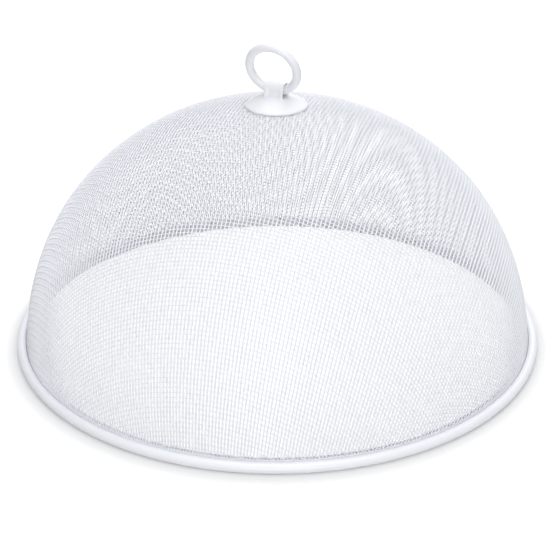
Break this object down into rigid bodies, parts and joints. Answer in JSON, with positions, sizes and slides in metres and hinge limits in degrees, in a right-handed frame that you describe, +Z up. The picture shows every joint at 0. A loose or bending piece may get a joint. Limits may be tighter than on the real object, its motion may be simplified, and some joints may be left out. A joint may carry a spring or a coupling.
{
  "type": "food cover dome",
  "caption": "Round dome of painted wire mesh on a rolled rim, lifted by a ring handle, that keeps insects off food.",
  "frame": {"origin": "on the table, under the middle of the dome", "axes": "+Z up along the dome's axis, X along the strap and the ring's swing axis, -Y towards the side that the ring leans to"},
  "size_m": [0.35, 0.35, 0.1999],
  "materials": {
    "white_paint": "white powder coat on sheet steel, half gloss",
    "white_wire": "white powder coat on woven steel wire",
    "plain_steel": "plain drawn wire, inside the rolled rim"
  },
  "bodies": {
    "cover": {"mesh_dome": "white_wire", "rim_channel": "white_paint", "rim_wire": "plain_steel", "rosette": "white_paint", "inner_washer": "white_paint", "ring_strap": "white_paint"},
    "ring": {"handle_ring": "white_paint"}
  },
  "joints": [
    {"name": "ring_swing", "type": "hinge", "parent": "cover", "child": "ring", "pos_m": [0, 0, 0.16804], "axis": [1, 0, 0], "range_deg": [-125, 87]}
  ]
}
